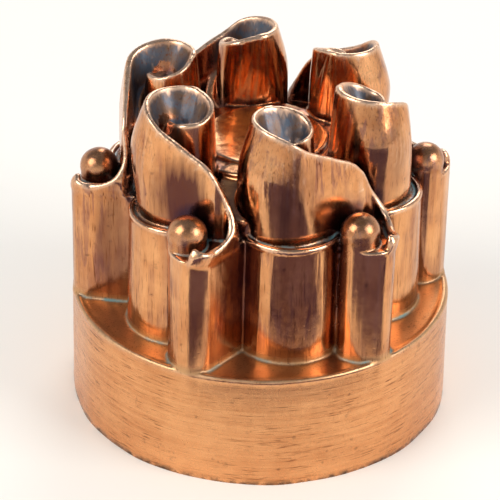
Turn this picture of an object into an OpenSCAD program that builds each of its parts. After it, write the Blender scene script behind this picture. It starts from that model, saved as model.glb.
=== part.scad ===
// Copper jelly mould: a thin shell with six scroll-topped towers, open underneath.
// The origin is at the centre of the open rim, and Z points up through the towers.

/* [Drum] */
// Diameter of the open rim that the mould stands on
rim_d = 130; // [122:1:140]
// How much smaller the radius is at the ledge than at the rim
drum_draft = 1.3; // [0.5:0.1:2.5]
// Height of the ledge above the rim
drum_h = 39.2; // [30:0.2:50]
// Radius of the rounded bead along the edge of the ledge
bead_r = 1.1; // [0.6:0.1:1.6]

/* [Sheet] */
// Thickness of the copper
wall = 1.2; // [0.8:0.1:1.4]

/* [Pillars] */
// Radius of a pillar at its foot
pillar_r = 17.8; // [16:0.1:18.4]
// Radius that a pillar loses from its foot to its top
pillar_draft = 0.75; // [0.3:0.05:1.5]
// Height of the ring round the top of a pillar above the rim
pillar_top = 80.6; // [74:0.2:84]
// Width of the ledge in front of a pillar
ledge_w = 9.6; // [8:0.2:12]
// Radius of the rolled lip round the top of a pillar
lip_r = 1; // [0.5:0.1:1.4]

/* [Columns] */
// Radius of the round side of a column
column_r = 8.4; // [7.6:0.1:9.2]
// Height of the floor behind the ball, at the top of a column
column_top = 80; // [75:0.2:82]
// Turn of a column from its pillar
column_turn = 37.1; // [36:0.1:38]
// Radius of the corner where a column stands flush with the face of the drum
corner_r = 2; // [1.6:0.1:2.8]
// Radius of the ball at the end of a column
ball_r = 6.3; // [5.4:0.1:6.8]
// Height of the middle of the ball
ball_z = 83.2; // [82:0.2:86]

/* [Towers] */
// Height of the highest point of the scrolled rim
crest_top = 118.2; // [112:0.2:124]
// Half of the thickness of the rim at its crest
crest_half = 0.85; // [0.7:0.05:1.2]
// Radius of the open loop of the rim
loop_r = 9.2; // [8:0.1:10]
// Radius of the inner hook where the rim begins
hook_r = 3.9; // [3:0.1:5]
// Distance of the rim from the middle of the loop where the fin leaves it
front_r = 13.4; // [12:0.1:14.5]
// How far the middle of the loop stands inward of the middle of the pillar
loop_in = 3.1; // [2.2:0.1:4]
// How far the middle of the loop stands to the left of the middle of the pillar
loop_side = 2.5; // [1.6:0.1:3.4]
// Depth of the funnel below the highest point of the rim
funnel_depth = 11.7; // [8:0.1:14]

/* [Middle] */
// Radius of the raised disc between the towers
disc_r = 20.8; // [18:0.1:22.5]
// Height of the raised disc above the rim
disc_top = 94.4; // [91:0.2:98]
// Height of the step round the disc
step_h = 1.4; // [0.6:0.1:2.5]

/* [Hidden] */
count = 6;
turn = 360 / count;
copper = "#b87050";
drum_top_r = rim_d / 2 - drum_draft;

// Azimuth 0 is the front, along -Y, and azimuths grow towards +X.
pillar_az = 14.9;
pillar_at = drum_top_r - ledge_w - pillar_r;
column_az = pillar_az - column_turn;
column_sunk = 0.7;
column_at = drum_top_r - column_sunk - column_r;
ball_az = column_az - 3.1;
ball_at = column_at - 0.4;
// Corner of a column: its turn from the column's middle, and how far it stands out from the drum.
corner_turn = 4.2;
corner_proud = 0.3;
// Flank of a column: its direction from the pillar's middle, and how deep its end lies in the pillar.
flank_turn = 78.8;
flank_in = 1.5;
// The curl turns about a point of its own, a little further round than the column's middle.
curl_az = column_az + 1.5;
curl_at = column_at - 0.4;
tower_foot_z = pillar_top - 5;
foot_r = pillar_r - pillar_draft - 2;
step_r = 27;
gap_from = column_az - 6.5;
gap_to = column_az + 17;
gap_at = column_at - 11;
gap_out_z = pillar_top + 5.4;
draft = 0.02;

// Crest of the loop: angle from straight out, and drop below the highest point.
loop_from = -35;
crest_drop = [
    [-35, 10.6], [0, 9], [45, 6.4], [90, 4.6], [135, 2.8],
    [180, 1.2], [225, 0.3], [270, 0], [315, 0.3], [360, 2]
];
// Crest of the fin: share of the way from the loop to the hook's tip, and height above the column's floor.
fin_rise = [
    [0, 32], [0.18, 27.3], [0.36, 20], [0.48, 10], [0.57, 6], [0.65, 4.2], [0.8, 2.6], [0.92, 3], [1, 3.8]
];
run_share = 0.36;
// Distance of the fin's crest from the middle of the curl, against the share of the way round.
curl_r = [[0, 12], [0.18, 11.6], [0.32, 9], [0.45, 6.2], [0.62, 5.2], [0.87, 7.1], [1, 7.6]];
curl_end = 127;
// Growth of the wall below its crest on the right-hand side, which is the outside of the loop.
right_grow = [
    [-35, 0.8], [20, 1.2], [80, 1.3], [140, 0.9], [200, 1],
    [265, 3.6], [320, 5], [360, 3], [400, 1.5], [440, 1], [540, 1]
];
// Depth below the crest at which that growth is complete.
right_depth = 13;
// Growth of the wall on the left-hand side, which is the funnel and the back of the fin.
left_grow = [
    [-35, 1.5], [20, 3], [80, 7.2], [270, 7.6], [300, 5.5], [325, 4], [360, 2.4], [400, 2.2], [440, 0.6], [540, 0.4]
];
left_slope = [
    [-35, 10], [20, 12], [80, 22], [140, 26], [265, 26], [320, 22], [360, 12], [400, 8], [440, 6], [540, 6]
];
// Floor of the channel behind the fin: angle round the loop, and height above the pillar's ring.
channel_floor = [[-50, 25.9], [-20, 24.4], [20, 21.4], [50, 16.9], [80, 11.9], [110, 8.4], [130, 6.9]];
channel_r = 14.5;
core_r = 6.5;

function at(az, r) = [r * sin(az), -r * cos(az)];
function mix(a, b, t) = a + (b - a) * t;
function ease(t) = let (u = max(0, min(1, t))) u * u * (3 - 2 * u);
function heading(v) = atan2(v[1], v[0]);

pillar_c = at(pillar_az, pillar_at);
loop_c = at(pillar_az, pillar_at - loop_in) - loop_side * [cos(pillar_az), sin(pillar_az)];
loop_az = heading([-loop_c[1], loop_c[0]]);
curl_c = at(curl_az + turn, curl_at);
centres = curl_c - loop_c;
run_heading = heading(centres) + asin((front_r + curl_r[0][1]) / norm(centres));

// Points of the crest, each with its run position: degrees on the loop, 360 to 440 on the straight,
// and 440 to 540 on the curl round the column.
function loop_radius(a) =
    mix(hook_r, loop_r, ease((a - loop_from) / 110))
    + (front_r - loop_r) * pow(max(0, (a - 180) / 180), 2.4);
function loop_point(a) =
    let (p = loop_c + at(loop_az + a, loop_radius(min(a, 360))))
    [p[0], p[1], crest_top - lookup(min(a, 360), crest_drop), min(a, 360)];
function fin_z(u) = column_top + lookup(u, fin_rise);
turn_end = run_heading - loop_az;
function turn_point(t) =
    let (p = loop_c + at(loop_az + turn_end * t, front_r))
    [p[0], p[1], mix(crest_top - 2, fin_z(0), t), 360 + 12 * t];
curl_start = curl_c + curl_r[0][1] * [-sin(run_heading), cos(run_heading)];
function run_point(t) =
    let (a = turn_point(1), p = mix([a[0], a[1]], curl_start, t))
    [p[0], p[1], fin_z(run_share * t), 372 + 68 * t];
function curl_point(t) =
    let (a = mix(-run_heading, curl_end, t), r = lookup(t, curl_r))
    [curl_c[0] + r * sin(a), curl_c[1] + r * cos(a), fin_z(mix(run_share, 1, t)), 440 + 100 * t];

// The curl is two layers of sheet pressed together, so the hollow of the wall ends before it.
function crest(step, curled) = concat(
    [for (a = [loop_from:step:359]) loop_point(a)],
    [for (i = [0:2]) turn_point(i / 2)],
    [for (i = [1:3]) run_point(i / 4)],
    [if (curled) for (i = [0:10]) curl_point(i / 10)]
);

// Section across the wall at one point of its crest, inset by g, from right foot to left foot.
function tan_right(s) = lookup(s, right_grow) / right_depth;
function tan_left(s) = tan(lookup(s, left_slope));
function section(s, depth, g) =
    let (
        tr = tan_right(s),
        tl = tan_left(s),
        wr = lookup(s, right_grow),
        wl = lookup(s, left_grow),
        k = g == 0 ? 0.7 : min(depth - 4, max(g, (0.3 - 2 * crest_half + 2 * g) / (tr + tl))),
        kr = max(k + 0.5, min(depth - 2, wr / tr)),
        kl = max(k + 0.5, min(depth - 2, wl / tl))
    )
    [
        [crest_half + wr + draft * depth - g, depth],
        [crest_half + wr - g, kr],
        [crest_half + tr * k - g, k],
        [g == 0 ? crest_half * 0.4 : 0.05, g == 0 ? 0 : k - 0.3],
        [g == 0 ? -crest_half * 0.4 : -0.05, g == 0 ? 0 : k - 0.3],
        [-(crest_half + tl * k - g), k],
        [-(crest_half + wl - g), kl],
        [-(crest_half + wl - g), depth]
    ];

// On the outside of the loop the foot of the wall draws in to a circle round the pillar's middle.
function drawn_in(s) = ease((s - 215) / 40) * (1 - ease((s - 385) / 40));
function to_foot_circle(p, s, g) =
    let (v = p - pillar_c)
    mix(p, pillar_c + v * (foot_r - g) / norm(v), drawn_in(s));
// Round the curl the wall stands on the column instead of the pillar.
function wall_foot(s, g) = mix(tower_foot_z, column_top - 3.5, ease((s - 440) / 20)) + g;

// The wall that hangs from the crest, swept from the hook to the tip of the curl.
module crest_wall(g, step) {
    line = crest(step, g == 0);
    n = len(line);
    m = 8;
    rings = [
        for (i = [0:n - 1])
            let (
                a = line[max(i - 1, 0)],
                b = line[min(i + 1, n - 1)],
                h = heading([b[0] - a[0], b[1] - a[1]]),
                right = [sin(h), -cos(h)],
                p = line[i],
                q = section(p[3], p[2] - wall_foot(p[3], g), g)
            )
            for (j = [0:m - 1])
                let (
                    v = [p[0], p[1]] + right * q[j][0],
                    w = j == 0 ? to_foot_circle(v, p[3], g) : v
                )
                [w[0], w[1], p[2] - q[j][1]]
    ];
    sides = [
        for (i = [0:n - 2], j = [0:m - 1])
            let (a = i * m + j, b = i * m + (j + 1) % m)
            each [[a, b, b + m], [a, b + m, a + m]]
    ];
    ends = [[for (j = [m - 1:-1:0]) j], [for (j = [0:m - 1]) (n - 1) * m + j]];
    polyhedron(rings, concat(sides, ends), convexity = 6);
}

// The sloping floor of the channel, a fan of steps round the middle of the loop.
module channel_bed(g, foot_z) {
    n = len(channel_floor);
    pts = [
        for (f = channel_floor)
            let (a = at(loop_az + f[0], 2), b = at(loop_az + f[0], channel_r - g), z = pillar_top + f[1] - g)
            each [
                [loop_c[0] + a[0], loop_c[1] + a[1], foot_z], [loop_c[0] + b[0], loop_c[1] + b[1], foot_z],
                [loop_c[0] + b[0], loop_c[1] + b[1], z], [loop_c[0] + a[0], loop_c[1] + a[1], z]
            ]
    ];
    sides = [
        for (i = [0:n - 2], j = [0:3])
            let (a = i * 4 + j, b = i * 4 + (j + 1) % 4)
            each [[a, b, b + 4], [a, b + 4, a + 4]]
    ];
    polyhedron(pts, concat(sides, [[3, 2, 1, 0], [for (j = [0:3]) (n - 1) * 4 + j]]));
}

// The bed of the gap between two towers, a wedge sloping down from the step to the column.
module gap_bed(g, foot_z) {
    inner_at = step_r - 5;
    outer_at = gap_at - g;
    corners = [
        [gap_from, inner_at, disc_top - step_h], [gap_to, inner_at, disc_top - step_h],
        [gap_to, outer_at, gap_out_z], [gap_from, outer_at, gap_out_z]
    ];
    middle_az = (gap_from + gap_to) / 2;
    pts = [
        for (low = [true, false], c = corners)
            let (v = at(c[0], c[1]) - g * sign(c[0] - middle_az) * [cos(c[0]), sin(c[0])])
            [v[0], v[1], low ? foot_z : c[2] - g]
    ];
    polyhedron(pts, [[3, 2, 1, 0], [4, 5, 6, 7], [1, 5, 4, 0], [2, 6, 5, 1], [3, 7, 6, 2], [0, 4, 7, 3]]);
}

module pillar(g, foot_z) {
    top_r = pillar_r - pillar_draft - g;
    translate(concat(pillar_c, 0))
        rotate_extrude($fn = 96)
            union() {
                polygon([
                    [0, foot_z], [pillar_r - g, foot_z],
                    [top_r, pillar_top - g], [0, pillar_top - g]
                ]);
                if (g == 0)
                    translate([top_r - lip_r * 0.9, pillar_top - lip_r * 0.6])
                        circle(r = lip_r, $fn = 24);
            }
}

// Plan of a column: a belt round three circles, which are its round side, its corner and its flank's end.
column_circles = [
    [at(column_az, column_at), column_r],
    [at(column_az + corner_turn, drum_top_r + corner_proud - corner_r), corner_r],
    [pillar_c + at(pillar_az - flank_turn, pillar_r - flank_in), corner_r]
];
function belt_side(a, b) = heading(b[0] - a[0]) - acos((a[1] - b[1]) / norm(b[0] - a[0]));
function belt_turn(a, b, c, r, n) =
    let (from = belt_side(a, b), sweep = (belt_side(b, c) - from + 720) % 360)
    [for (i = [0:n]) b[0] + r * [cos(from + sweep * i / n), sin(from + sweep * i / n)]];
function column_plan(g) =
    let (c = column_circles)
    concat(
        belt_turn(c[2], c[0], c[1], c[0][1] - g, 20),
        belt_turn(c[0], c[1], c[2], c[1][1] - g, 5),
        belt_turn(c[1], c[2], c[0], c[2][1] - g, 5)
    );

module column(g, foot_z) {
    r = ball_r - g;
    translate([0, 0, foot_z])
        linear_extrude(column_top - g - foot_z)
            polygon(column_plan(g));
    translate(concat(at(ball_az, ball_at), 0))
        rotate_extrude($fn = 48)
            intersection() {
                union() {
                    translate([0, foot_z + 2])
                        square([r, ball_z - foot_z - 2]);
                    translate([0, ball_z])
                        circle(r = r, $fn = 48);
                }
                translate([0, foot_z])
                    square([r + 1, ball_z + r - foot_z]);
            }
}

module tower(g) {
    core_foot_z = tower_foot_z - 2;
    crest_wall(g, g == 0 ? 12 : 18);
    channel_bed(g, tower_foot_z - 1);
    translate([loop_c[0], loop_c[1], core_foot_z])
        cylinder(h = crest_top - funnel_depth - g - core_foot_z, r = core_r - g, $fn = 48);
}

module drum(g) {
    low = g == 0 ? 0 : -1;
    rotate_extrude($fn = 180)
        union() {
            polygon([
                [0, low], [rim_d / 2 - g, low],
                [drum_top_r - g, drum_h - g], [0, drum_h - g]
            ]);
            if (g == 0)
                translate([drum_top_r - bead_r, drum_h - bead_r * 0.8])
                    circle(r = bead_r, $fn = 24);
        }
}

module middle(g, foot_z) {
    rotate_extrude($fn = 96)
        polygon([
            [0, foot_z], [step_r - g, foot_z], [step_r - g, disc_top - step_h - g],
            [disc_r - g, disc_top - step_h - g], [disc_r - g, disc_top - g], [0, disc_top - g]
        ]);
}

// The outline of the whole mould, inset by g.
module form(g) {
    foot_z = drum_h - 4;
    drum(g);
    middle(g, foot_z - 1);
    for (i = [0:count - 1])
        rotate(i * turn) {
            pillar(g, foot_z);
            column(g, foot_z - 8);
            gap_bed(g, foot_z - 2);
            tower(g);
        }
}

module mould_shell() {
    color(copper)
        difference() {
            form(0);
            form(wall);
        }
}

mould_shell();
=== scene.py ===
"""Copper jelly mould with six scroll-topped towers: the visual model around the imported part."""

import math

import bpy
import numpy as np
from mathutils import Matrix, Vector


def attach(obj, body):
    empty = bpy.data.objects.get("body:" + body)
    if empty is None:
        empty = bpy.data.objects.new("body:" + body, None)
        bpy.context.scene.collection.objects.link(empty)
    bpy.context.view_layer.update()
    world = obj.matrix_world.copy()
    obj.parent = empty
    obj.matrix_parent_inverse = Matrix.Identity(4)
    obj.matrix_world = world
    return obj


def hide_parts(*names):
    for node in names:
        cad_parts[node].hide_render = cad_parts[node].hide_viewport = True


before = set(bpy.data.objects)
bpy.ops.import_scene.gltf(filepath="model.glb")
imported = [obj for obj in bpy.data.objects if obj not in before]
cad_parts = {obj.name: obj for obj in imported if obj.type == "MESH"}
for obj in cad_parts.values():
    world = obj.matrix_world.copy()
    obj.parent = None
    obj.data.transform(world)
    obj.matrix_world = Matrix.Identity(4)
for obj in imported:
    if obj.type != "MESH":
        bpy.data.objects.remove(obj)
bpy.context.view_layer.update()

bl_info = {
    "name": "Copper Jelly Mould",
    "version": (1, 0, 0),
    "blender": (4, 5, 0),
    "location": "View3D > Sidebar > Jelly Mould",
    "description": "Builds a scroll-topped copper jelly mould and a plain stage for it",
    "category": "Add Mesh",
}

MM = 0.001
TOWERS = 6
TURN = 360.0 / TOWERS

# Where things stand round the mould: degrees from the front towards +X, and mm from the axis.
PILLAR_AZ, PILLAR_AT = 14.6, 36.4
TOWER_FOOT_AZ, TOWER_FOOT_AT, TOWER_FOOT_R = 13.4, 33.9, 15.5
BALL_AZ, BALL_AT = -25.3, 54.2
LOOP_AZ, LOOP_AT = 11.3, 33.3
CURL_AZ, CURL_AT = -20.2, 55.6
# A column's plan is a belt round three circles: its round side, its outer corner, its flank's end.
COLUMN_AZ, COLUMN_AT = -22.2, 54.6
CORNER_AZ, CORNER_AT, CORNER_R = -21.2, 56.8, 7.0
FLANK_AZ, FLANK_AT, FLANK_R = -7.2, 42.6, 2.0
# The bed between two towers falls outwards from the step round the disc.
GAP_AZ, GAP_HALF, GAP_IN, GAP_OUT = -17.0, 11.75, 22.0, 43.6

# Crest of the scroll: degrees round the loop from straight out, distance from its middle, height.
LOOP_CREST = [
    (-35, 4.7, 109.7), (0, 4.4, 110.2), (45, 7.3, 112.1), (90, 8.35, 113.0), (135, 8.4, 115.4),
    (180, 7.4, 117.5), (225, 8.5, 118.1), (270, 9.9, 118.1), (315, 11.5, 117.7), (360, 13.6, 114.9),
]
# Crest of the fin: heights at the start, middle and end of the straight run, then round the curl.
RUN_HEIGHTS = [112.0, 107.2, 100.6]
CURL_HEIGHTS = [(0.23, 90.4), (0.41, 85.3), (0.57, 83.3), (0.7, 82.7), (0.89, 83.4), (1.0, 84.4)]
CURL_RADII = [
    (0.0, 9.6), (0.18, 11.0), (0.32, 9.35), (0.45, 6.85), (0.62, 5.65), (0.87, 7.0), (1.0, 6.1),
]
CURL_END = 131.5
# How far the wall swells below its crest, against the place along it: degrees on the loop,
# then 360 to 440 on the straight and 440 to 540 on the curl.
RIGHT_SWELL = [
    (-35, 0.8), (20, 1.2), (80, 1.3), (140, 0.9), (200, 1.0), (265, 3.6), (320, 5.0),
    (360, 3.0), (400, 1.5), (440, 1.0), (540, 0.8),
]
LEFT_SWELL = [
    (-35, 1.5), (20, 3.0), (80, 7.2), (270, 7.6), (300, 5.5), (325, 4.0), (360, 2.4),
    (400, 2.2), (440, 1.4), (475, 1.6), (540, 1.6),
]
LEFT_SLOPE = [
    (-35, 10), (20, 12), (80, 22), (140, 26), (265, 26), (320, 22), (360, 12), (400, 8),
    (440, 12), (475, 42), (540, 42),
]
SWELL_DEPTH = 13.0
# Faces where a dark reflection is painted as a maroon patch: middle, reach each way, both in mm,
# and how strong it is.
PAINTED_DARK_REFLECTIONS = [
    ((-25.0, -37.0, 91.0), (10.5, 13.5, 16.0), 0.95),
    ((8.5, -42.0, 94.0), (8.5, 10.5, 20.0), 0.8),
    ((-49.5, -16.5, 60.0), (6.0, 5.5, 26.0), 0.6),
    ((38.0, -21.5, 98.0), (8.0, 9.0, 17.0), 0.5),
]
# Tints of old use: the rubbed brown of the balls, the dull ledge, the funnels' stains and the metal
# in a scratch; and painted tints: shade in the nooks between the towers and a blue-grey sky
# reflection in the funnels.
BALL_TINT, LEDGE_TINT, NOOK_SHADE_TINT = "#a8642f", "#cfa273", "#2c2438"
FUNNEL_SKY_REFLECTION_TINT, FUNNEL_STAIN, SCORE_TINT = "#3c5668", "#665242", "#6b3a20"
# Floor of the channel behind the fin: degrees round the loop, and height.
CHANNEL_FLOOR = [
    (-50, 106.5), (-20, 105.0), (20, 102.0), (50, 97.5), (80, 92.5), (110, 89.0), (130, 87.5),
]


class MouldSizes(bpy.types.PropertyGroup):
    """Sizes of the mould that a user may change."""

    rim_radius: bpy.props.FloatProperty(
        name="Rim radius", description="Radius of the open rim", default=65.0 * MM,
        min=0.06, max=0.07, subtype="DISTANCE", unit="LENGTH")
    ledge_height: bpy.props.FloatProperty(
        name="Ledge height", description="Height of the ledge above the rim", default=39.2 * MM,
        min=0.03, max=0.05, subtype="DISTANCE", unit="LENGTH")
    pillar_radius: bpy.props.FloatProperty(
        name="Pillar radius", description="Radius of a pillar at its foot", default=17.8 * MM,
        min=0.016, max=0.0184, subtype="DISTANCE", unit="LENGTH")
    pillar_height: bpy.props.FloatProperty(
        name="Pillar height", description="Height of the ring round a pillar", default=80.6 * MM,
        min=0.074, max=0.084, subtype="DISTANCE", unit="LENGTH")
    column_radius: bpy.props.FloatProperty(
        name="Column radius", description="Radius of a column's round side", default=8.4 * MM,
        min=0.0076, max=0.0092, subtype="DISTANCE", unit="LENGTH")
    ball_radius: bpy.props.FloatProperty(
        name="Ball radius", description="Radius of the ball in a curl", default=6.3 * MM,
        min=0.0054, max=0.0068, subtype="DISTANCE", unit="LENGTH")
    disc_radius: bpy.props.FloatProperty(
        name="Disc radius", description="Radius of the raised disc", default=20.8 * MM,
        min=0.018, max=0.0225, subtype="DISTANCE", unit="LENGTH")
    sheet: bpy.props.FloatProperty(
        name="Sheet", description="Thickness of the copper sheet", default=1.2 * MM,
        min=0.0008, max=0.0014, subtype="DISTANCE", unit="LENGTH")
    dents: bpy.props.FloatProperty(
        name="Dents", description="Depth of the soft dents of age", default=0.16 * MM,
        min=0.0, max=0.0005, subtype="DISTANCE", unit="LENGTH")


def srgb(code):
    """Turns an sRGB hex value such as #b87050 into a linear colour."""
    parts = [int(code[i:i + 2], 16) / 255.0 for i in (1, 3, 5)]
    return tuple(p / 12.92 if p <= 0.04045 else ((p + 0.055) / 1.055) ** 2.4 for p in parts)


def colour(label, text, code):
    return bpy.props.FloatVectorProperty(
        name=label, description=text, default=srgb(code), size=3, min=0.0, max=1.0, subtype="COLOR")


class MouldColours(bpy.types.PropertyGroup):
    """Colours of the metal and of the stage."""

    copper: colour("Copper", "Polished copper", "#ecac76")
    # Rubbed copper also paints a highlight line along the crests and edges.
    rubbed: colour("Rubbed copper", "Copper worn bright on high edges", "#f8d3b4")
    brown: colour("Brown tarnish", "Brown oxide on handled copper", "#b87244")
    # Plum also paints the upright streaks, which stand in part for dark reflections.
    plum: colour("Plum tarnish", "Purple-brown oxide in sheltered places", "#6e4450")
    # The maroon colour paints dark reflections onto a few faces; it is not oxide.
    painted_reflection_maroon: colour("Maroon tarnish", "Thick dark oxide on a few faces", "#56302e")
    soot: colour("Soot", "Dark smudges and old polish", "#2e2226")
    verdigris: colour("Verdigris", "Green-blue salts in the valleys", "#5f9aa0")
    tin: colour("Tin", "Tinned lining", "#c9c6bf")
    floor: colour("Floor", "Paper that the mould stands on", "#fbf6ec")


def smooth_min(a, b, k):
    h = np.maximum(k - np.abs(a - b), 0.0) / k
    return np.minimum(a, b) - h * h * k * 0.25


def smooth_max(a, b, k):
    return -smooth_min(-a, -b, k)


def ease(t):
    u = np.clip(t, 0.0, 1.0)
    return u * u * (3.0 - 2.0 * u)


def polar(az, at):
    return np.array([at * math.sin(math.radians(az)), -at * math.cos(math.radians(az))])


def smooth_through(knots, x):
    """A smooth curve through the knots, at x."""
    kx = np.array([k[0] for k in knots], float)
    ky = np.array([k[1] for k in knots], float)
    m = np.gradient(ky, kx)
    x = np.clip(x, kx[0], kx[-1])
    i = np.clip(np.searchsorted(kx, x) - 1, 0, len(kx) - 2)
    h = kx[i + 1] - kx[i]
    t = (x - kx[i]) / h
    return (
        (2 * t**3 - 3 * t**2 + 1) * ky[i] + (t**3 - 2 * t**2 + t) * h * m[i]
        + (-2 * t**3 + 3 * t**2) * ky[i + 1] + (t**3 - t**2) * h * m[i + 1]
    )


def belt(x, y, circles):
    """Plan distance to a belt pulled round circles, which are listed anticlockwise."""
    out = np.full(x.shape, -1e9)
    sides = []
    for (a, ra), (b, rb) in zip(circles, circles[1:] + circles[:1]):
        gap = b - a
        turn = math.atan2(gap[1], gap[0]) - math.acos((ra - rb) / math.hypot(*gap))
        sides.append(turn)
        out = np.maximum(out, (x - a[0]) * math.cos(turn) + (y - a[1]) * math.sin(turn) - ra)
    for i, (c, radius) in enumerate(circles):
        sweep = (sides[i] - sides[i - 1]) % (2 * math.pi)
        way = (np.arctan2(y - c[1], x - c[0]) - sides[i - 1]) % (2 * math.pi)
        out = np.where(way < sweep, np.maximum(out, np.hypot(x - c[0], y - c[1]) - radius), out)
    return out


class Form:
    """The outside of the mould as a distance field in mm, negative inside the metal's outline."""

    crest_half = 0.85       # half the thickness of the scroll's edge
    funnel_floor = 106.5
    bowl_radius = 6.5       # floor of the funnel
    channel_radius = 14.0   # reach of the floor behind the fin
    draft = 1.3             # how much narrower the drum is at the ledge
    step_radius = 27.0
    step_height = 93.0
    disc_height = 94.4
    column_floor = 80.0
    ball_height = 83.8
    pillar_draft = 0.75
    lean = 0.006            # how far the columns lean in, in mm for each mm of height
    lip_out = 0.9           # how far the curl may stand proud of its column

    def __init__(self, sizes):
        self.rim = sizes.rim_radius / MM
        self.ledge = sizes.ledge_height / MM
        self.pillar = sizes.pillar_radius / MM
        self.ring = sizes.pillar_height / MM
        self.column = sizes.column_radius / MM
        self.ball = sizes.ball_radius / MM
        self.disc = sizes.disc_radius / MM
        self.dent = sizes.dents / MM
        self.crest()
        rng = np.random.default_rng(11)
        n = 22
        d = rng.normal(size=(n, 3))
        d /= np.linalg.norm(d, axis=1)[:, None]
        length = np.geomspace(11.0, 60.0, n)
        self.wave = d * (2 * math.pi / length)[:, None]
        self.phase = rng.uniform(0, 2 * math.pi, n)
        self.swing = (length / 40.0) ** 0.7 * rng.uniform(0.5, 1.0, n)
        self.swing *= 1.0 / math.sqrt((self.swing ** 2).sum() / 2)

    def crest(self):
        """Points of the crest of the tower at LOOP_AZ, each with its height and its place."""
        loop = polar(LOOP_AZ, LOOP_AT)
        col = polar(CURL_AZ + TURN, CURL_AT)
        self.loop = loop
        front, back = LOOP_CREST[-1][1], CURL_RADII[0][1]
        gap = col - loop
        heading = math.atan2(gap[1], gap[0]) + math.asin((front + back) / np.hypot(*gap))
        turned = np.linspace(0, math.degrees(heading) - LOOP_AZ, 6)[1:]
        a = np.linspace(LOOP_CREST[0][0], 360, 67)
        r = smooth_through([(k[0], k[1]) for k in LOOP_CREST], a)
        a_all = np.concatenate([a, 360 + turned])
        r_all = np.concatenate([r, np.full(len(turned), front)])
        rad = np.radians(a_all + LOOP_AZ)
        on_loop = np.stack([loop[0] + r_all * np.sin(rad), loop[1] - r_all * np.cos(rad)], -1)
        psi = np.linspace(-heading, math.radians(CURL_END), 44)
        u = (psi - psi[0]) / (psi[-1] - psi[0])
        rc = smooth_through(CURL_RADII, u)
        on_curl = np.stack([col[0] + rc * np.sin(psi), col[1] + rc * np.cos(psi)], -1)
        t = np.linspace(0, 1, 10)[1:-1, None]
        on_run = on_loop[-1] + (on_curl[0] - on_loop[-1]) * t
        p = np.concatenate([on_loop, on_run, on_curl])
        s = np.concatenate([[0], np.cumsum(np.hypot(*np.diff(p, axis=0).T))])
        n1 = len(on_loop) - 1
        n2 = n1 + len(on_run) + 1
        knots = [(s[np.argmin(abs(a_all - k[0]))], k[2]) for k in LOOP_CREST]
        knots += list(zip((s[n1], (s[n1] + s[n2]) / 2, s[n2]), RUN_HEIGHTS))
        knots += [(s[n2] + (s[-1] - s[n2]) * q, h) for q, h in CURL_HEIGHTS]
        self.line = p
        self.line_z = smooth_through(knots, s)
        self.place = np.concatenate(
            [a_all, np.linspace(a_all[-1], 440, len(on_run) + 2)[1:-1], 440 + 100 * u])
        self.split = int(np.searchsorted(self.place, 215))

    def column_circles(self, k):
        """The circles of the column that stands k sixths of a turn round."""
        return [
            (polar(COLUMN_AZ + TURN * k, COLUMN_AT), self.column),
            (polar(CORNER_AZ + TURN * k, CORNER_AT), CORNER_R),
            (polar(FLANK_AZ + TURN * k, FLANK_AT), FLANK_R),
        ]

    def nearest(self, x, y, first, last):
        """Plan distance to a stretch of the crest, which side, its height and its place."""
        best = np.full(x.shape, 1e9)
        side = np.zeros(x.shape)
        high = np.zeros(x.shape)
        place = np.zeros(x.shape)
        p, z, lab = self.line[first:last], self.line_z[first:last], self.place[first:last]
        for j in range(len(p) - 1):
            ab = p[j + 1] - p[j]
            length = math.hypot(*ab)
            px, py = x - p[j, 0], y - p[j, 1]
            t = np.clip((px * ab[0] + py * ab[1]) / length**2, 0, 1)
            d = np.hypot(px - t * ab[0], py - t * ab[1])
            m = d < best
            best[m] = d[m]
            side[m] = ((ab[1] * px - ab[0] * py) / length)[m]
            high[m] = (z[j] + t * (z[j + 1] - z[j]))[m]
            place[m] = (lab[j] + t * (lab[j + 1] - lab[j]))[m]
        side = np.clip(side / np.maximum(best, 1e-6), -1, 1)
        return {"d": best, "side": 0.5 + 0.5 * side, "z": high, "place": place}

    def plan(self, x, y):
        """Everything that depends on x and y alone, for points in the front sector."""
        q = {name: [] for name in ("towers", "pillars", "columns", "balls", "gaps")}
        q["rho"] = np.hypot(x, y)
        for k in (-1, 0, 1):
            c = polar(PILLAR_AZ + TURN * k, PILLAR_AT)
            q["pillars"].append(np.hypot(x - c[0], y - c[1]))
        for k in (0, 1):
            b = polar(BALL_AZ + TURN * k, BALL_AT)
            q["columns"].append(belt(x, y, self.column_circles(k)))
            q["balls"].append(np.hypot(x - b[0], y - b[1]))
            az, half = math.radians(GAP_AZ + TURN * k), math.radians(GAP_HALF)
            along = x * math.sin(az) - y * math.cos(az)
            across = np.abs(x * math.cos(az) + y * math.sin(az))
            q["gaps"].append((along, across * math.cos(half) - along * math.sin(half)))
        for k in (-1, 0, 1):
            a = math.radians(-TURN * k)
            xr = x * math.cos(a) - y * math.sin(a)
            yr = x * math.sin(a) + y * math.cos(a)
            near = np.hypot(xr - 10.0, yr + 42.0) < 38.0
            xs, ys = xr[near], yr[near]
            hook = self.nearest(xs, ys, 0, self.split + 1)
            fin = self.nearest(xs, ys, self.split - 2, len(self.line))
            dx, dy = xs - self.loop[0], ys - self.loop[1]
            foot = polar(TOWER_FOOT_AZ, TOWER_FOOT_AT)
            phi = (np.degrees(np.arctan2(dx, -dy)) - LOOP_AZ + 180) % 360 - 180
            for part in (hook, fin):
                lab = part["place"]
                part["right"] = smooth_through(RIGHT_SWELL, lab)
                part["left"] = smooth_through(LEFT_SWELL, lab)
                part["slope"] = np.radians(smooth_through(LEFT_SLOPE, lab))
                part["drawn"] = ease((lab - 215) / 40) * (1 - ease((lab - 385) / 40))
                part["foot"] = 75.0 + 1.5 * ease((lab - 440) / 20)
            below = polar(PILLAR_AZ, PILLAR_AT)
            below = np.hypot(xs - below[0], ys - below[1]) - self.pillar + 0.9
            below = np.minimum(below, np.hypot(xs, ys) - GAP_OUT)
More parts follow.
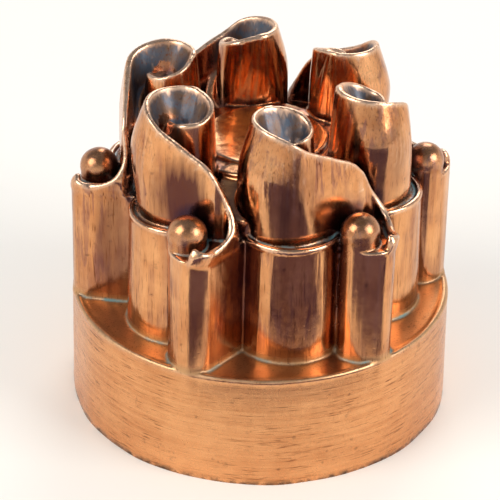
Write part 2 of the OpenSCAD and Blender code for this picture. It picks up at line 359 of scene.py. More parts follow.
            face = smooth_min(belt(xs, ys, self.column_circles(1)), below, 1.0)
            face = face - 60.0 * (1 - ease((fin["place"] - 415) / 25))
            q["towers"].append({
                "near": near, "hook": hook, "fin": fin, "r": np.hypot(dx, dy), "phi": phi,
                "foot": np.hypot(xs - foot[0], ys - foot[1]) - TOWER_FOOT_R, "face": face,
            })
        return q

    def wall(self, part, foot, z):
        """The wall that hangs from one stretch of the crest."""
        half = self.crest_half
        k = part["z"] - half - z
        down = np.maximum(k, 0.0)
        right = part["side"]
        slope = part["slope"] + (np.arctan2(part["right"], SWELL_DEPTH) - part["slope"]) * right
        t = part["d"] * np.sin(slope) + k * np.cos(slope)
        flank = np.where(
            t < 0, np.hypot(part["d"], k) - half,
            part["d"] * np.cos(slope) - k * np.sin(slope) - half)
        swell = part["left"] + (part["right"] - part["left"]) * right
        side = part["d"] - half - swell - 0.01 * down
        drawn = part["drawn"] * ease(right * 1.6 - 0.3) * np.clip((k - SWELL_DEPTH) / 24.0, 0, 1)
        side = side + (foot - side) * drawn
        return smooth_max(flank, side, np.minimum(2.4, 0.25 + swell * 0.8))

    def tower(self, q, z):
        face = q["face"] + self.lean * (z - self.ledge) - self.lip_out * ease((z - 77.0) / 6.0)
        face = face + 1.3 * (1 - ease((z - 75.0) / 5.0))
        fin = smooth_max(self.wall(q["fin"], q["foot"], z), face, 0.5)
        fin = smooth_max(fin, q["fin"]["foot"] - z, 0.4)
        hook = smooth_max(self.wall(q["hook"], q["foot"], z), 75.0 - z, 0.4)
        bowl = smooth_max(z - self.funnel_floor, q["r"] - self.bowl_radius, 1.5)
        floor = np.interp(q["phi"], [c[0] for c in CHANNEL_FLOOR], [c[1] for c in CHANNEL_FLOOR])
        ends = q["r"] * np.radians(np.abs(q["phi"] - 40.0) - 90.0)
        bed = smooth_max(z - floor, q["r"] - self.channel_radius, 1.0)
        bed = smooth_max(bed, ends, 1.0)
        core = smooth_max(smooth_min(bowl, bed, 2.0), 75.0 - z, 0.4)
        return smooth_min(smooth_min(hook, core, 2.6), np.minimum(fin, 1e3), 1.0)

    def outside(self, q, z):
        """Distance to the outside of the mould."""
        rho = q["rho"]
        rim_at = self.rim - self.draft * np.clip(z / self.ledge, 0, 1)
        top = self.rim - self.draft
        drum = smooth_max(rho - rim_at, z - self.ledge, 1.2)
        bead = np.hypot(rho - (top - 1.15), z - (self.ledge - 0.75)) - 1.2
        drum = smooth_min(drum, bead, 0.5)
        step = smooth_max(rho - self.step_radius, z - self.step_height, 1.0)
        above = z - self.disc_height
        disc = smooth_max(rho - self.disc - 0.2 + 0.02 * above, above, 0.9)
        body = smooth_min(step, disc, 0.7)
        for along, across in q["gaps"]:
            bed = self.step_height - 7.0 * np.maximum(along - GAP_IN, 0.0) / (GAP_OUT - GAP_IN)
            gap = smooth_max(smooth_max(across, z - bed, 1.2), along - GAP_OUT, 1.2)
            body = smooth_min(body, gap, 1.6)
        for d in q["pillars"]:
            u = np.clip((z - self.ledge) / (self.ring - self.ledge), 0, 1)
            r = self.pillar - self.pillar_draft * u
            pillar = smooth_max(d - r, z - self.ring + 0.7, 0.8)
            lip_at = self.pillar - self.pillar_draft - 0.75
            lip = np.hypot(d - lip_at, z - (self.ring - 0.55)) - 1.0
            body = smooth_min(body, smooth_min(pillar, lip, 0.45), 1.0)
        for d in q["columns"]:
            lean = self.lean * np.maximum(z - self.ledge, 0.0)
            column = smooth_max(d + lean, z - self.column_floor, 0.8)
            body = smooth_min(body, column, 0.9)
        towers = np.full(np.broadcast(rho, z).shape, 1e3)
        for t in q["towers"]:
            near = t["near"]
            if near.any():
                zz = z if z.shape[0] == 1 else z[near]
                towers[near] = np.minimum(towers[near], self.tower(t, zz))
        body = smooth_min(body, towers, 1.1)
        for d in q["balls"]:
            ball = np.hypot(d, z - self.ball_height) - self.ball
            stem = smooth_max(d - self.ball + 0.15, z - self.ball_height, 0.3)
            body = smooth_min(body, np.minimum(ball, stem), 0.7)
        return smooth_min(drum, body, 1.1)

    def at_points(self, p):
        """Distance at each point (n, 3), with the dents of age."""
        az = np.degrees(np.arctan2(p[:, 0], -p[:, 1]))
        k = np.floor((az + 5.0) / TURN)
        a = np.radians(-TURN * k)
        x = p[:, 0] * np.cos(a) - p[:, 1] * np.sin(a)
        y = p[:, 0] * np.sin(a) + p[:, 1] * np.cos(a)
        q = self.plan(x, y)
        f = self.outside(q, p[:, 2])
        f_up = self.outside(q, p[:, 2] + 0.05)
        return f + self.age(p), f_up

    def age(self, p):
        """Soft dents, in mm."""
        w = np.zeros(len(p))
        for wave, phase, swing in zip(self.wave, self.phase, self.swing):
            w += swing * np.cos(p @ wave + phase)
        return self.dent * w


def sector_grid(fine):
    """Grid lines round, outward and up; close together where the towers need it."""
    at = np.arange(3.0, 66.9, 0.6 * fine)
    count = int(round(96 / fine))
    az = -5 + TURN * np.arange(count) / count
    up = np.concatenate([
        np.arange(-1.5, 34, 2.4 * fine), np.arange(34.5, 42, 0.5 * fine),
        np.arange(42.5, 76, 2.4 * fine), np.arange(76, 121, 0.6 * fine)])
    return az, at, up


def sample(form, az, at, up):
    """The form's distance on the grid of one sector."""
    a, r = np.meshgrid(np.radians(az), at, indexing="ij")
    q = form.plan((r * np.sin(a)).ravel(), (-r * np.cos(a)).ravel())

    def tall(v):
        if isinstance(v, dict):
            return {k: (w if k == "near" else tall(w)) for k, w in v.items()}
        if isinstance(v, (list, tuple)):
            return [tall(w) for w in v]
        return v[:, None]

    f = form.outside({k: tall(v) for k, v in q.items()}, up[None, :])
    return f.reshape(len(az), len(at), len(up))


def net(field, az, at, up):
    """Surface net of the zero level, once round the axis: points and four-sided faces."""
    field = np.concatenate([field, field[:1]], 0)
    n, m, l = field.shape
    low = field < 0
    shape = (n - 1, m - 1, l - 1)
    total = np.zeros(shape + (3,), np.float32)
    hits = np.zeros(shape, np.float32)
    for axis in range(3):
        others = [a for a in range(3) if a != axis]
        for u in (0, 1):
            for v in (0, 1):
                start = [0, 0, 0]
                start[others[0]], start[others[1]] = u, v
                end = list(start)
                end[axis] = 1
                f0 = field[tuple(slice(s, s + c) for s, c in zip(start, shape))]
                f1 = field[tuple(slice(s, s + c) for s, c in zip(end, shape))]
                cross = (f0 < 0) != (f1 < 0)
                t = np.where(cross, f0 / np.where(cross, f0 - f1, 1), 0)
                for a in range(3):
                    total[..., a] += np.where(cross, t if a == axis else float(start[a]), 0)
                hits += cross
    used = hits > 0
    cell = np.argwhere(used)
    p = total[used] / hits[used][:, None]
    a = az[0] + (cell[:, 0] + p[:, 0]) * (az[1] - az[0])
    r = np.interp(cell[:, 1] + p[:, 1], np.arange(m), at)
    z = np.interp(cell[:, 2] + p[:, 2], np.arange(l), up)
    name = -np.ones(shape, np.int64)
    name[used] = np.arange(len(cell))
    quads = []
    for axis in range(3):
        others = [b for b in range(3) if b != axis]
        f0 = low[:n - 1]
        if axis == 0:
            first, second = f0, low[1:]
        elif axis == 1:
            first, second = f0[:, :m - 1], f0[:, 1:]
        else:
            first, second = f0[:, :, :l - 1], f0[:, :, 1:]
        change = np.argwhere(first != second)
        inward = first[tuple(change.T)]
        corner, good = [], np.ones(len(change), bool)
        for du, dv in ((-1, -1), (0, -1), (0, 0), (-1, 0)):
            c = change.copy()
            c[:, others[0]] += du
            c[:, others[1]] += dv
            sector = np.where(c[:, 0] < 0, -1, 0)
            c[:, 0] %= n - 1
            for b, limit in ((1, m - 1), (2, l - 1)):
                good &= (c[:, b] >= 0) & (c[:, b] < limit)
            c = np.clip(c, 0, [n - 2, m - 2, l - 2])
            corner.append(np.stack([name[c[:, 0], c[:, 1], c[:, 2]], sector], -1))
        quad = np.stack(corner, 1)[good]
        flip = inward[good] if axis != 1 else ~inward[good]
        quad[flip] = quad[flip][:, ::-1]
        quads.append(quad)
    quads = np.concatenate(quads)
    quads = quads[(quads[..., 0] >= 0).all(1)]
    points, faces = [], []
    for k in range(TOWERS):
        b = np.radians(a + TURN * k)
        points.append(np.stack([r * np.sin(b), -r * np.cos(b), z], -1))
        faces.append(quads[..., 0] + ((quads[..., 1] + k) % TOWERS) * len(cell))
    return np.concatenate(points), np.concatenate(faces)


def plain_mesh(name, points, faces):
    mesh = bpy.data.meshes.new(name)
    faces = np.asarray(faces)
    mesh.vertices.add(len(points))
    mesh.vertices.foreach_set("co", np.asarray(points, np.float32).ravel())
    mesh.loops.add(faces.size)
    mesh.loops.foreach_set("vertex_index", faces.astype(np.int32).ravel())
    mesh.polygons.add(len(faces))
    mesh.polygons.foreach_set(
        "loop_start", np.arange(0, faces.size, faces.shape[1], dtype=np.int32))
    mesh.update(calc_edges=True)
    mesh.validate()
    return mesh


def thinned(points, faces, triangles):
    """The same surface with about so many triangles, from Blender's own Decimate."""
    mesh = plain_mesh("dense", points, faces)
    obj = bpy.data.objects.new("dense", mesh)
    bpy.context.scene.collection.objects.link(obj)
    mod = obj.modifiers.new("Fewer", "DECIMATE")
    mod.ratio = min(1.0, triangles / (2.0 * len(faces)))
    done = obj.evaluated_get(bpy.context.evaluated_depsgraph_get()).to_mesh()
    done.calc_loop_triangles()
    p = np.empty(len(done.vertices) * 3, np.float32)
    done.vertices.foreach_get("co", p)
    t = np.empty(len(done.loop_triangles) * 3, np.int32)
    done.loop_triangles.foreach_get("vertices", t)
    obj.to_mesh_clear()
    bpy.data.objects.remove(obj)
    bpy.data.meshes.remove(mesh)
    return p.reshape(-1, 3).astype(float), t.reshape(-1, 3).astype(np.int64)


def facing(p, tri):
    """Direction at each point, in which the larger faces count for more."""
    n = np.cross(p[tri[:, 1]] - p[tri[:, 0]], p[tri[:, 2]] - p[tri[:, 0]])
    out = np.stack([
        sum(np.bincount(tri[:, c], n[:, a], len(p)) for c in range(3)) for a in range(3)], -1)
    return out / np.maximum(np.linalg.norm(out, axis=1), 1e-12)[:, None]


def settle(form, p, level, rounds):
    """Moves points onto the form's surface at a level, and gives the surface's direction there."""
    h = 0.05
    for _ in range(rounds):
        f, up = form.at_points(p)
        flat = f - form.age(p)
        gx = form.at_points(p + [h, 0, 0])[0] - f
        gy = form.at_points(p + [0, h, 0])[0] - f
        g = np.stack([gx, gy, up - flat + form.age(p + [0, 0, h]) - form.age(p)], -1) / h
        size = np.maximum((g**2).sum(1), 0.25)
        step = ((f - level) / size)[:, None] * g
        long = np.linalg.norm(step, axis=1)
        step *= np.minimum(1.0, 0.5 / np.maximum(long, 1e-9))[:, None]
        p = p - step
    return p, g / np.maximum(np.linalg.norm(g, axis=1), 1e-9)[:, None]


def open_loops(tri, count):
    """The open edges of a surface, as closed loops of point numbers."""
    e = np.concatenate([tri[:, [0, 1]], tri[:, [1, 2]], tri[:, [2, 0]]])
    code, back = e[:, 0] * count + e[:, 1], e[:, 1] * count + e[:, 0]
    free = e[~np.isin(code, back)]
    following = dict(zip(free[:, 0].tolist(), free[:, 1].tolist()))
    loops = []
    while following:
        start, at = next(iter(following.items()))
        loop = [start]
        following.pop(start)
        while at != start and at in following:
            loop.append(at)
            at = following.pop(at)
        loops.append(np.array(loop))
    return loops


def close_centre(p, tri):
    """Fills the small hole round the axis."""
    for loop in open_loops(tri, len(p)):
        if np.hypot(p[loop, 0], p[loop, 1]).max() < 8.0:
            middle = len(p)
            p = np.concatenate([p, p[loop].mean(0)[None]])
            fan = np.stack([np.roll(loop, -1), loop, np.full(len(loop), middle)], -1)
            tri = np.concatenate([tri, fan])
    return p, tri


def rim_strip(p, outer, inner):
    """Triangles that join two loops round the axis, facing down."""
    def in_turn(loop):
        az = np.arctan2(p[loop, 0], -p[loop, 1])
        order = np.argsort(az)
        return loop[order], az[order]

    (o, oa), (i, ia) = in_turn(outer), in_turn(inner)
    n, m = len(o), len(i)
    a = b = 0
    out = []
    while a < n or b < m:
        next_o = oa[a + 1] if a + 1 < n else oa[(a + 1) % n] + 2 * math.pi
        next_i = ia[b + 1] if b + 1 < m else ia[(b + 1) % m] + 2 * math.pi
        if b >= m or (a < n and next_o <= next_i):
            out.append((o[a % n], i[b % m], o[(a + 1) % n]))
            a += 1
        else:
            out.append((o[a % n], i[b % m], i[(b + 1) % m]))
            b += 1
    tri = np.array(out)
    v = np.cross(p[tri[:, 1]] - p[tri[:, 0]], p[tri[:, 2]] - p[tri[:, 0]])
    up = v[:, 2] > 0
    tri[up] = tri[up][:, ::-1]
    return tri


def skin(form, level, fine, triangles, rounds):
    """One side of the sheet: points, triangles and the surface's direction."""
    az, at, up = sector_grid(fine)
    field = sample(form, az, at, up) - level
    p, quads = net(field, az, at, up)
    p, tri = thinned(p, quads, triangles)
    p, tri = close_centre(p, tri)
    p, n = settle(form, p, level, rounds)
    for loop in open_loops(tri, len(p)):
        if p[loop, 2].mean() < 3.0:
            p[loop, 2] = 0.0
            n[loop, 2] = 0.0
            foot = loop
    keep = p[:, 2] > -0.01
    p[~keep, 2] = 0.0
    return p, tri, n, foot


def swelling(p, n, tri):
    """How sharply the surface bulges at each point, in 1/mm; a valley is negative."""
    e = np.concatenate([tri[:, [0, 1]], tri[:, [1, 2]], tri[:, [2, 0]]])
    d = p[e[:, 1]] - p[e[:, 0]]
    c = ((n[e[:, 1]] - n[e[:, 0]]) * d).sum(1) / np.maximum((d**2).sum(1), 1e-6)
    total = np.bincount(e[:, 0], c, len(p)) + np.bincount(e[:, 1], c, len(p))
    return total / np.maximum(np.bincount(e.ravel(), minlength=len(p)), 1)


def add_value(mesh, name, values):
    layer = mesh.attributes.new(name, "FLOAT", "POINT")
    layer.data.foreach_set("value", np.asarray(values, np.float32))


def marks(form, p, n, tri):
    """What each point's place does to the metal: edges and crests, worn and painted with highlight,
    valleys, shelter, funnels, balls.
    """
    reach = [np.clip(form.at_points(p + n * h)[0] / h, 0, 1) for h in (2.0, 6.0, 14.0)]
    bulge = swelling(p, n, tri)
    edge = np.clip(bulge / 0.9, 0, 1)
    valley = np.clip(-bulge / 0.5, 0, 1)
    az = np.degrees(np.arctan2(p[:, 0], -p[:, 1]))
    a = np.radians(-TURN * np.floor((az + 5.0) / TURN))
    x = p[:, 0] * np.cos(a) - p[:, 1] * np.sin(a)
    y = p[:, 0] * np.sin(a) + p[:, 1] * np.cos(a)
    q = form.plan(x, y)
    funnel, crest, ball = np.zeros(len(p)), np.zeros(len(p)), np.zeros(len(p))
    for d in q["balls"]:
        beyond = np.hypot(d, p[:, 2] - form.ball_height) - form.ball
        ball = np.maximum(ball, ease((0.7 - beyond) / 0.6))
    for t in q["towers"]:
        z = p[t["near"], 2]
        first = t["hook"]["d"] < t["fin"]["d"]
        d = np.where(first, t["hook"]["d"], t["fin"]["d"])
        side = np.where(first, t["hook"]["side"], t["fin"]["side"])
        top = np.where(first, t["hook"]["z"], t["fin"]["z"])
        inside = ease((0.6 - side) * 4) * ease((15.0 - t["r"]) / 3) * ease((z - 89) / 8)
        funnel[t["near"]] = np.maximum(funnel[t["near"]], inside * ease((top - 0.2 - z) / 1.2))
        on = ease((1.5 - d) / 0.8) * ease((z - top + 1.8) / 1.2)
        crest[t["near"]] = np.maximum(crest[t["near"]], on)
    return {
        "edge": edge, "valley": valley, "crest": crest, "funnel": funnel, "ball": ball,
        "close": 1 - reach[0], "shelter": 1 - 0.5 * (reach[1] + reach[2]),
    }


def add(tree, kind, inputs=None, **settings):
    """Adds a node; an input is a value or another node's output."""
    made = tree.nodes.new(kind)
    for name, value in settings.items():
        setattr(made, name, value)
    for name, value in (inputs or {}).items():
        if isinstance(value, bpy.types.NodeSocket):
            tree.links.new(value, made.inputs[name])
        else:
            made.inputs[name].default_value = value
    return made


def new_material(name):
    mat = bpy.data.materials.new(name)
    mat.use_nodes = True
    mat.node_tree.nodes.clear()
    return mat, mat.node_tree


def per_mm(size):
    """Texture scale, in 1/m, for a pattern whose features are this many mm across."""
    return 1.0 / (size * MM)


def aged_copper(colours):
    """Copper sheet, stamped, planished and long polished by hand.

    The eye gets a warm mirror gone soft: pale on edges and crests, part wear and part painted
    highlight, brown to plum in the shelter of the towers, upright plum streaks of oxide and painted
    dark reflection, maroon patches of painted dark reflection, painted shade in the nooks, a
    painted blue-grey sky reflection in the funnels, darker in tight creases, with fine scratches,
    and green-blue salts in valleys."""
    mat, tree = new_material("aged_polished_copper")
    place = add(tree, "ShaderNodeTexCoord").outputs["Object"]
    high = add(tree, "ShaderNodeSeparateXYZ", {"Vector": place}).outputs["Z"]
    mark = {
        name: add(tree, "ShaderNodeAttribute", attribute_name=name).outputs["Fac"]
        for name in ("edge", "valley", "crest", "funnel", "ball", "close", "shelter")
    }

    def maths(operation, a, b):
        return add(tree, "ShaderNodeMath", {0: a, 1: b}, operation=operation).outputs[0]

    def times(a, b):
        return maths("MULTIPLY", a, b)

    def plus(a, b):
        return maths("ADD", a, b)

    def span(value, low, high, to_low=0.0, to_high=1.0):
        return add(tree, "ShaderNodeMapRange", {
            "Value": value, "From Min": low, "From Max": high,
            "To Min": to_low, "To Max": to_high}).outputs[0]

    def between(start, full, last, end):
        """One from the second height to the third, in mm, and nothing beyond the outer two."""
        return times(span(high, start * MM, full * MM), span(high, end * MM, last * MM))

    def cloud(size, detail=4.0, stretch=(1, 1, 1), rough=0.55, twist=0.0):
        moved = add(tree, "ShaderNodeMapping", {"Vector": place, "Scale": stretch}).outputs[0]
        return add(tree, "ShaderNodeTexNoise", {
            "Vector": moved, "Scale": per_mm(size), "Detail": detail, "Roughness": rough,
            "Distortion": twist}).outputs["Fac"]

    def cells(size):
        return add(tree, "ShaderNodeTexVoronoi", {
            "Vector": place, "Scale": per_mm(size)}).outputs["Distance"]

    def blend(share, a, b):
        made = add(tree, "ShaderNodeMix", {0: share, 2: a, 3: b}, data_type="FLOAT")
        return made.outputs[0]

    def over(under, top, share):
        made = add(tree, "ShaderNodeMix", {0: share, 6: under, 7: top}, data_type="RGBA")
        return made.outputs[2]

    def fixed(tint):
        return (srgb(tint) if isinstance(tint, str) else tuple(tint)) + (1.0,)

    on_drum = span(high, 39.2 * MM, 37.5 * MM)
    ledge = between(38.5, 39.2, 40.3, 42.5)
    broad = cloud(34, 3)
    blotch = cloud(9, 6, twist=0.6)
    fine = cloud(2.2, 6)
    upright = cloud(3.4, 4, (1, 1, 0.10))
    around = cloud(1.3, 4, (0.035, 0.035, 1))

    # Oxide: brown in clouds and streaks, plum in the shelter; the plum upright runs are partly
    # oxide and partly painted dark reflection.
    mottle = plus(times(broad, 0.55), times(blotch, 0.45))
    tone = blend(on_drum, plus(times(upright, 0.5), 0.25), around)
    browned = span(plus(times(mottle, 0.6), times(tone, 0.4)), 0.40, 0.64)
    browned = times(browned, span(on_drum, 0, 1, 1.0, 0.55))
    metal = over(fixed(colours.copper), fixed(colours.brown), browned)
    deep = times(span(mark["shelter"], 0.25, 0.85), span(blotch, 0.2, 0.7, 0.6, 1.0))
    deep = times(deep, span(on_drum, 0, 1, 0.5, 0.2))
    metal = over(metal, fixed(colours.plum), deep)
    rubbed = times(mark["ball"], span(blotch, 0.3, 0.6, 0.3, 0.8))
    metal = over(metal, fixed(BALL_TINT), rubbed)
    metal = over(metal, fixed(LEDGE_TINT), times(ledge, span(blotch, 0.3, 0.7, 0.6, 1.0)))
    # Plum upright streaks up the towers and pillars: painted dark reflection streaks that also read
    # as oxide.
    runs = times(span(cloud(2.6, 5, (1, 1, 0.12), 0.6, 0.4), 0.50, 0.60), span(broad, 0.42, 0.58))
    runs = times(runs, span(high, 40 * MM, 52 * MM))
    metal = over(metal, fixed(colours.plum), times(runs, 0.55))
    # Painted dark reflections: maroon patches with ragged upright edges on a few faces.
    for at, reach, share in PAINTED_DARK_REFLECTIONS:
        off = add(tree, "ShaderNodeMapping", {
            "Vector": place, "Location": tuple(-a / b for a, b in zip(at, reach)),
            "Scale": tuple(1.0 / (b * MM) for b in reach)})
        far = add(tree, "ShaderNodeVectorMath", {0: off.outputs[0]}, operation="LENGTH")
        ragged = plus(far.outputs["Value"], span(upright, 0.2, 0.8, -0.35, 0.35))
        metal = over(metal, fixed(colours.painted_reflection_maroon), times(span(ragged, 1.1, 0.55), share))

    # Painted shade in the nooks and a painted blue-grey sky reflection in the funnels, then soot
    # smudges, and the soot colour darker in tight creases.
    painted_nook_shade = times(span(mark["shelter"], 0.62, 0.88), between(74, 79, 92.5, 96))
    metal = over(metal, fixed(NOOK_SHADE_TINT), times(painted_nook_shade, 0.7))
    # Painted blue-grey sky reflection in the funnels, mixed with real brown stains.
    blue = over(fixed(FUNNEL_SKY_REFLECTION_TINT), fixed(FUNNEL_STAIN), span(blotch, 0.47, 0.66))
    metal = over(metal, blue, times(mark["funnel"], 0.9))
    smudge = times(span(cloud(5, 8, rough=0.7), 0.60, 0.70), span(fine, 0.4, 0.6))
    # Soot smudges at random, and the soot colour laid darker in tight creases.
    smudge_and_crease_dark = maths("MAXIMUM", times(smudge, 0.5), times(mark["close"], 0.3))
    metal = over(metal, fixed(colours.soot), smudge_and_crease_dark)

    # Scratches, which run round the drum and up the rest, specks, and the dark foot of the drum.
    scratch = cloud(0.5, 2, (0.05, 0.05, 1), 0.8)
    hatch = cloud(0.55, 2, (1, 1, 0.06), 0.8)
    lines = blend(on_drum, hatch, scratch)
    scored = times(span(lines, 0.57, 0.70), span(broad, 0.35, 0.6, 0.35, 0.9))
    metal = over(metal, fixed(SCORE_TINT), scored)
    specks = plus(cells(4.4), span(fine, 0.3, 0.7, -0.08, 0.12))
    specks = times(span(specks, 0.17, 0.07), span(blotch, 0.48, 0.56))
    foot = times(span(cloud(4, 4), 0.42, 0.60), span(high, 2.2 * MM, 0.6 * MM, 0.0, 0.65))
    metal = over(metal, fixed(colours.soot), maths("MAXIMUM", times(specks, 0.4), foot))

    # Salts in the valleys of the ledge and round the balls, and pale metal on the edges and crests:
    # part wear, part painted highlight.
    low_valleys = maths("MAXIMUM", ledge, between(78.5, 80, 81.5, 85))
    salts = times(low_valleys, span(blotch, 0.44, 0.62, 0.15, 1.0))
    salts = times(salts, span(mark["valley"], 0.45, 1.0, 0.0, 0.8))
    metal = over(metal, fixed(colours.verdigris), salts)
    # Pale on crests and edges: worn metal together with a painted highlight line.
    bright = maths("MAXIMUM", times(mark["crest"], 0.8), mark["edge"])
    bright = times(bright, span(fine, 0.25, 0.55, 0.35, 1.0))
    metal = over(metal, fixed(colours.rubbed), bright)

    # Relief: scratches, pits and the soft facets of the hammer.
    beaten = cloud(8, 2, (1, 1, 0.35))
    height = plus(times(lines, 0.35), times(span(cells(1.9), 0.05, 0.22), 0.25))
    height = plus(height, times(blotch, 0.9))
    height = plus(height, times(beaten, span(on_drum, 0, 1, 3.5, 0.8)))
    bump = add(tree, "ShaderNodeBump", {"Height": height, "Strength": 0.35, "Distance": 0.12 * MM})

    rough = span(fine, 0.3, 0.7, 0.12, 0.22)
    for where, more in (
        (salts, 0.35), (on_drum, 0.10), (mark["crest"], 0.12), (mark["ball"], 0.10),
        (maths("MAXIMUM", ledge, mark["funnel"]), 0.22), (smudge_and_crease_dark, 0.25),
    ):
        rough = plus(rough, times(where, more))
    bare = maths("SUBTRACT", maths("SUBTRACT", 1.0, times(salts, 0.8)), times(mark["funnel"], 0.35))
    shader = add(tree, "ShaderNodeBsdfPrincipled", {
        "Base Color": metal, "Roughness": rough, "Normal": bump.outputs[0], "Metallic": bare})
    add(tree, "ShaderNodeOutputMaterial", {"Surface": shader.outputs[0]})
    return mat


def tinned_lining(colours):
    """Tin wiped hot over the copper's inside: a dull grey shine with stains of old use."""
    mat, tree = new_material("wiped_tin_lining")
    place = add(tree, "ShaderNodeTexCoord").outputs["Object"]
    wipe = add(tree, "ShaderNodeTexNoise", {
        "Vector": place, "Scale": per_mm(14), "Detail": 5.0, "Distortion": 1.2}).outputs["Fac"]
    stain = add(tree, "ShaderNodeMapRange", {"Value": wipe, "From Min": 0.4, "From Max": 0.7})
    tint = add(tree, "ShaderNodeMix", {
        0: stain.outputs[0], 6: tuple(colours.tin) + (1.0,), 7: srgb("#8f8578") + (1.0,)},
        data_type="RGBA")
    dull = add(tree, "ShaderNodeMapRange", {"Value": wipe, "To Min": 0.35, "To Max": 0.6})
    bump = add(tree, "ShaderNodeBump", {"Height": wipe, "Strength": 0.4, "Distance": 0.2 * MM})
    shader = add(tree, "ShaderNodeBsdfPrincipled", {
        "Base Color": tint.outputs[2], "Roughness": dull.outputs[0], "Metallic": 1.0,
        "Normal": bump.outputs[0]})
    add(tree, "ShaderNodeOutputMaterial", {"Surface": shader.outputs[0]})
    return mat


class MOULD_OT_shell(bpy.types.Operator):
    """Makes the mould's sheet: one closed shell, copper outside and tinned inside"""

    bl_idname = "mould.shell"
    bl_label = "Jelly Mould"
    bl_options = {"REGISTER", "UNDO"}

    def execute(self, context):
        sizes, colours = context.scene.mould_sizes, context.scene.mould_colours
        form = Form(sizes)
        coarse = 1.0
        out_p, out_t, out_n, out_foot = skin(form, 0.0, coarse, 150000 / coarse, 2)
        in_p, in_t, _, in_foot = skin(form, -sizes.sheet / MM, 1.6, 34000, 1)
        shade = marks(form, out_p, out_n, out_t)
        first = len(out_p)
        p = np.concatenate([out_p, in_p])
        strip = rim_strip(p, out_foot, in_foot + first)
        tri = np.concatenate([out_t, strip, in_t[:, ::-1] + first])
        mesh = plain_mesh("mould_sheet", p * MM, tri)
        slots = np.zeros(len(tri), np.int32)
        slots[len(out_t) + len(strip):] = 1
        mesh.polygons.foreach_set("material_index", slots)
        mesh.polygons.foreach_set("use_smooth", np.ones(len(tri), bool))
        for name, values in shade.items():
            add_value(mesh, name, np.concatenate([values, np.zeros(len(in_p))]))
        mesh.normals_split_custom_set_from_vertices(facing(p, tri))
        mesh.materials.append(aged_copper(colours))
        mesh.materials.append(tinned_lining(colours))
        mould = bpy.data.objects.new("mould_sheet", mesh)
        context.scene.collection.objects.link(mould)
        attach(mould, "root")
        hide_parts("mould_shell")
        self.report({"INFO"}, f"{len(tri)} triangles")
        return {"FINISHED"}


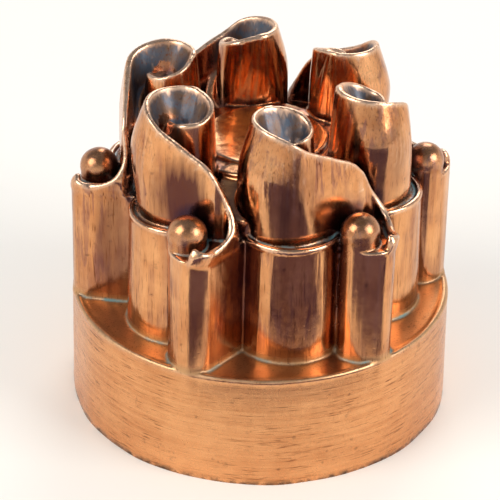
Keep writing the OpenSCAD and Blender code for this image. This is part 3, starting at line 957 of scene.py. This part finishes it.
class MOULD_OT_stage(bpy.types.Operator):
    """Makes the paper floor, the lamps, the room's light and the camera"""

    bl_idname = "mould.stage"
    bl_label = "Stage"
    bl_options = {"REGISTER", "UNDO"}

    def execute(self, context):
        scene = context.scene
        self.floor(scene)
        self.dark_card(scene)
        self.room(scene)
        self.lamps(scene)
        self.camera(scene)
        scene.view_settings.view_transform = "Standard"
        return {"FINISHED"}

    def floor(self, scene):
        ring = 96
        reach = 2.4
        a = np.linspace(0, 2 * math.pi, ring, endpoint=False)
        edge = np.stack([reach * np.cos(a), reach * np.sin(a), np.zeros(ring)], -1)
        mesh = bpy.data.meshes.new("paper")
        mesh.from_pydata(edge.tolist(), [], [tuple(range(ring))])
        mat, tree = new_material("matt_paper")
        shader = add(tree, "ShaderNodeBsdfPrincipled", {
            "Base Color": tuple(scene.mould_colours.floor) + (1.0,), "Roughness": 0.9,
            "Specular IOR Level": 0.0})
        add(tree, "ShaderNodeOutputMaterial", {"Surface": shader.outputs[0]})
        mesh.materials.append(mat)
        paper = bpy.data.objects.new("paper", mesh)
        scene.collection.objects.link(paper)

    def dark_card(self, scene):
        """A dark card laid before the mould; only the metal's reflections show it."""
        points, steps = [], 24
        near, far, start, sweep = 0.126, 0.75, -26, 80
        for radius in (near, far):
            for i in range(steps + 1):
                a = math.radians(start + sweep * i / steps)
                points.append((radius * math.sin(a), -radius * math.cos(a), 0.001))
        n = steps + 1
        faces = [(i, i + n, i + n + 1, i + 1) for i in range(steps)]
        mesh = bpy.data.meshes.new("dark_card")
        mesh.from_pydata(points, [], faces)
        mat, tree = new_material("dark_felt")
        shader = add(tree, "ShaderNodeBsdfPrincipled", {
            "Base Color": srgb("#6c5f76") + (1.0,), "Roughness": 1.0, "Specular IOR Level": 0.0})
        add(tree, "ShaderNodeOutputMaterial", {"Surface": shader.outputs[0]})
        mesh.materials.append(mat)
        card = bpy.data.objects.new("dark_card", mesh)
        card.visible_camera = card.visible_diffuse = card.visible_shadow = False
        scene.collection.objects.link(card)

    def room(self, scene):
        """A pale room, darker overhead; the lens and the metal see the same walls."""
        world = bpy.data.worlds.new("room")
        world.use_nodes = True
        tree = world.node_tree
        tree.nodes.clear()
        way = add(tree, "ShaderNodeTexCoord").outputs["Generated"]
        up = add(tree, "ShaderNodeSeparateXYZ", {"Vector": way}).outputs["Z"]
        shade = add(tree, "ShaderNodeMapRange", {
            "Value": up, "From Min": 0.10, "From Max": 0.75, "To Min": 1.0, "To Max": 0.25})
        tint = add(tree, "ShaderNodeMix", {
            0: shade.outputs[0], 6: (0.66, 0.78, 1.0, 1.0), 7: (1.0, 0.985, 0.95, 1.0)},
            data_type="RGBA")
        path = add(tree, "ShaderNodeLightPath")
        seen = add(tree, "ShaderNodeMath", {
            0: path.outputs["Is Camera Ray"], 1: path.outputs["Is Glossy Ray"]},
            operation="MAXIMUM")
        seen = add(tree, "ShaderNodeMath", {
            0: seen.outputs[0], 1: path.outputs["Is Transmission Ray"]}, operation="MAXIMUM")
        level = add(tree, "ShaderNodeMix", {
            0: seen.outputs[0], 2: 0.56, 3: shade.outputs[0]}, data_type="FLOAT")
        back = add(tree, "ShaderNodeBackground", {
            "Color": tint.outputs[2], "Strength": level.outputs[0]})
        add(tree, "ShaderNodeOutputWorld", {"Surface": back.outputs[0]})
        scene.world = world

    def lamps(self, scene):
        for name, at, size, watts, warmth in (
            ("window_left", (-0.9, -0.55, 0.95), 0.8, 9.5, (1.0, 0.97, 0.92)),
            ("panel_right", (1.0, -0.5, 0.7), 0.7, 9.0, (1.0, 0.98, 0.95)),
            ("panel_back", (0.2, 1.0, 0.9), 0.6, 4.5, (1.0, 0.98, 0.96)),
        ):
            lamp = bpy.data.lights.new(name, "AREA")
            lamp.size = size
            lamp.energy = watts
            lamp.color = warmth
            obj = bpy.data.objects.new(name, lamp)
            obj.location = at
            aim = Vector((0, 0, 0.05)) - Vector(at)
            obj.rotation_euler = aim.to_track_quat("-Z", "Y").to_euler()
            scene.collection.objects.link(obj)

    def camera(self, scene):
        """The photograph's viewing angle: about 34 degrees above the table."""
        tilt = math.radians(33.92)
        at = Vector((0.0, -0.715 * math.cos(tilt), 0.715 * math.sin(tilt)))
        aim = Vector((-0.003816, 0.0, 0.050219)) - at
        aim.normalize()
        right = aim.cross(Vector((0, 0, 1))).normalized()
        up = right.cross(aim)
        roll = 0.019296
        across = right * math.cos(roll) + up * math.sin(roll)
        upward = up * math.cos(roll) - right * math.sin(roll)
        data = bpy.data.cameras.new("camera")
        data.sensor_width = 36.0
        data.lens = 145.77
        data.clip_start, data.clip_end = 0.05, 20.0
        obj = bpy.data.objects.new("camera", data)
        turn = Matrix((across, upward, -aim)).transposed().to_4x4()
        obj.matrix_world = Matrix.Translation(at) @ turn
        scene.collection.objects.link(obj)
        scene.camera = obj


class MOULD_PT_panel(bpy.types.Panel):
    """Lists the sizes, the colours and the steps"""

    bl_idname = "MOULD_PT_panel"
    bl_label = "Jelly Mould"
    bl_space_type = "VIEW_3D"
    bl_region_type = "UI"
    bl_category = "Jelly Mould"

    def draw(self, context):
        for group in (context.scene.mould_sizes, context.scene.mould_colours):
            box = self.layout.box()
            for name in group.__annotations__:
                box.prop(group, name)
        self.layout.operator(MOULD_OT_shell.bl_idname)
        self.layout.operator(MOULD_OT_stage.bl_idname)


CLASSES = (MouldSizes, MouldColours, MOULD_OT_shell, MOULD_OT_stage, MOULD_PT_panel)


def register():
    for cls in CLASSES:
        bpy.utils.register_class(cls)
    bpy.types.Scene.mould_sizes = bpy.props.PointerProperty(type=MouldSizes)
    bpy.types.Scene.mould_colours = bpy.props.PointerProperty(type=MouldColours)


def unregister():
    del bpy.types.Scene.mould_colours
    del bpy.types.Scene.mould_sizes
    for cls in reversed(CLASSES):
        bpy.utils.unregister_class(cls)


def main():
    register()
    bpy.ops.mould.shell()
    bpy.ops.mould.stage()


if __name__ == "__main__":
    main()
